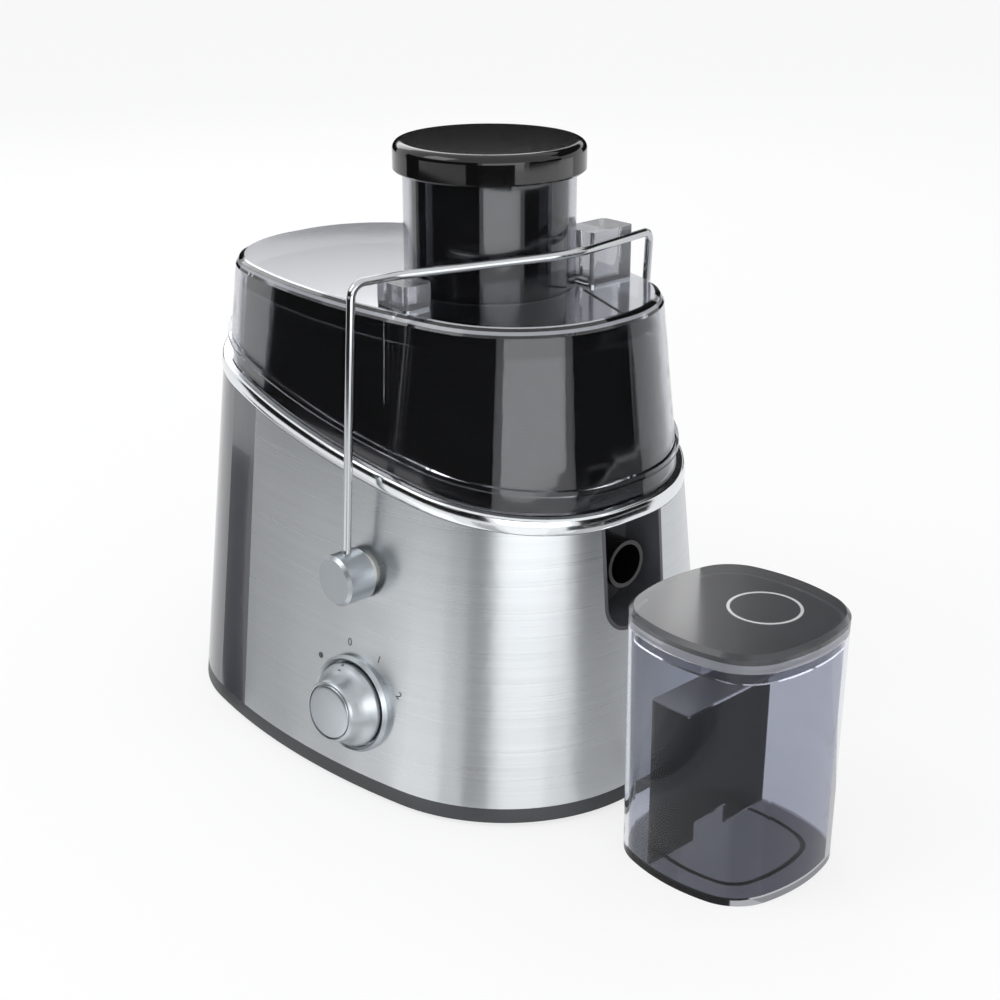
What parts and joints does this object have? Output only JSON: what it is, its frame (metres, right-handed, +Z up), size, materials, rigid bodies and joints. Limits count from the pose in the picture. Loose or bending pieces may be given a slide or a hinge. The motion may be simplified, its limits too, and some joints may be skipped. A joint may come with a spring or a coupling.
{
  "type": "centrifugal juicer",
  "caption": "Centrifugal juicer with a smoke-clear lid and feed tube over a tapered steel-fronted motor base, wire bail lock, speed knob, nose spout and lidded juice jug.",
  "frame": {"origin": "middle of the footprint of the juicer and its jug as they stand, on the counter under the feet", "axes": "+X towards the juice nose and the jug, -Y towards the front panel with the knob, +Z up"},
  "size_m": [0.3855, 0.2178, 0.2986],
  "materials": {
    "dark_plastic": "fine moulded texture",
    "rubber": "matte",
    "zinc_steel": "zinc plated",
    "grey_gloss_plastic": "gloss moulded",
    "brushed_panel": "brushed along its length",
    "chrome_trim": "polished",
    "black_plastic": "satin moulded",
    "black_gloss_plastic": "gloss moulded",
    "bracket_alloy": "die cast",
    "lamination_steel": "stacked laminations",
    "bearing_steel": "ground",
    "copper_winding": "enamelled copper",
    "brass_holder": "stamped",
    "white_nylon": "moulded",
    "basket_steel": "perforated stainless sheet",
    "smoke_clear": "clear smoke-tinted, polished",
    "smoke_lid": "deep smoke, polished",
    "chrome_wire": "polished wire",
    "satin_metal": "satin turned",
    "pointer_paint": "painted mark"
  },
  "bodies": {
    "base": {"base_plate": "dark_plastic", "rubber_feet": "rubber", "base_screws": "zinc_steel", "motor_housing": "grey_gloss_plastic", "front_panel": "brushed_panel", "trim_ring": "chrome_trim", "notch_liner": "black_plastic", "deck": "black_plastic", "interlock_switch": "black_plastic", "juice_collector": "black_gloss_plastic", "pulp_container": "black_plastic", "lower_bracket": "bracket_alloy", "upper_bracket": "bracket_alloy", "stator": "lamination_steel", "motor_bolts": "zinc_steel", "rubber_mounts": "rubber", "bearings": "bearing_steel", "field_coils": "copper_winding", "brush_holders": "brass_holder", "pivot_bush_front": "white_nylon", "pivot_bush_rear": "white_nylon", "knob_bezel": "satin_metal", "rotary_switch": "black_plastic", "cord_gland": "black_plastic"},
    "rotor": {"motor_shaft": "bearing_steel", "rotor_core": "lamination_steel", "commutator": "copper_winding", "cooling_fan": "black_plastic", "drive_coupling": "white_nylon", "filter_basket": "basket_steel", "grater_disc": "basket_steel"},
    "knob": {"knob_body": "satin_metal", "knob_pointer": "pointer_paint", "knob_face": "satin_metal", "switch_spindle": "bearing_steel"},
    "bail": {"bail_wire": "chrome_wire", "pivot_button_front": "satin_metal", "pivot_button_rear": "satin_metal"},
    "lid": {"main_lid": "smoke_clear", "feed_tube": "smoke_clear"},
    "pusher": {"pusher_body": "black_gloss_plastic", "pusher_cap": "black_gloss_plastic"},
    "jug": {"jug_body": "smoke_clear", "froth_separator": "smoke_clear"},
    "jug_cover": {"jug_lid": "smoke_lid", "jug_lid_ring": "chrome_trim"}
  },
  "joints": [
    {"name": "rotor_spin", "type": "hinge", "parent": "base", "child": "rotor", "pos_m": [-0.01543, 0.00451, 0.06], "axis": [0, 0, 1], "continuous": true},
    {"name": "knob_turn", "type": "hinge", "parent": "base", "child": "knob", "pos_m": [-0.00883, -0.09, 0.0439], "axis": [-0.1081, 0.9884, -0.1069], "range_deg": [-45, 80]},
    {"name": "bail_swing", "type": "hinge", "parent": "base", "child": "bail", "pos_m": [-0.00843, 0.00451, 0.11], "axis": [0, 1, 0], "range_deg": [0, 50]},
    {"name": "lid_lift", "type": "slide", "parent": "base", "child": "lid", "axis": [0, 0, 1], "range_m": [0, 0.0088]},
    {"name": "pusher_slide", "type": "slide", "parent": "lid", "child": "pusher", "axis": [0, 0, 1], "range_m": [0, 0.15]},
    {"name": "jug_slide", "type": "slide", "parent": "base", "child": "jug", "axis": [1, 0, 0], "range_m": [-0.012, 0.06]},
    {"name": "jug_lid_lift", "type": "slide", "parent": "jug", "child": "jug_cover", "axis": [0, 0, 1], "range_m": [0, 0.04]}
  ],
  "couplings": [
    {"joint": "lid_lift", "follows": "bail_swing", "m_per_rad": 0.01}
  ]
}
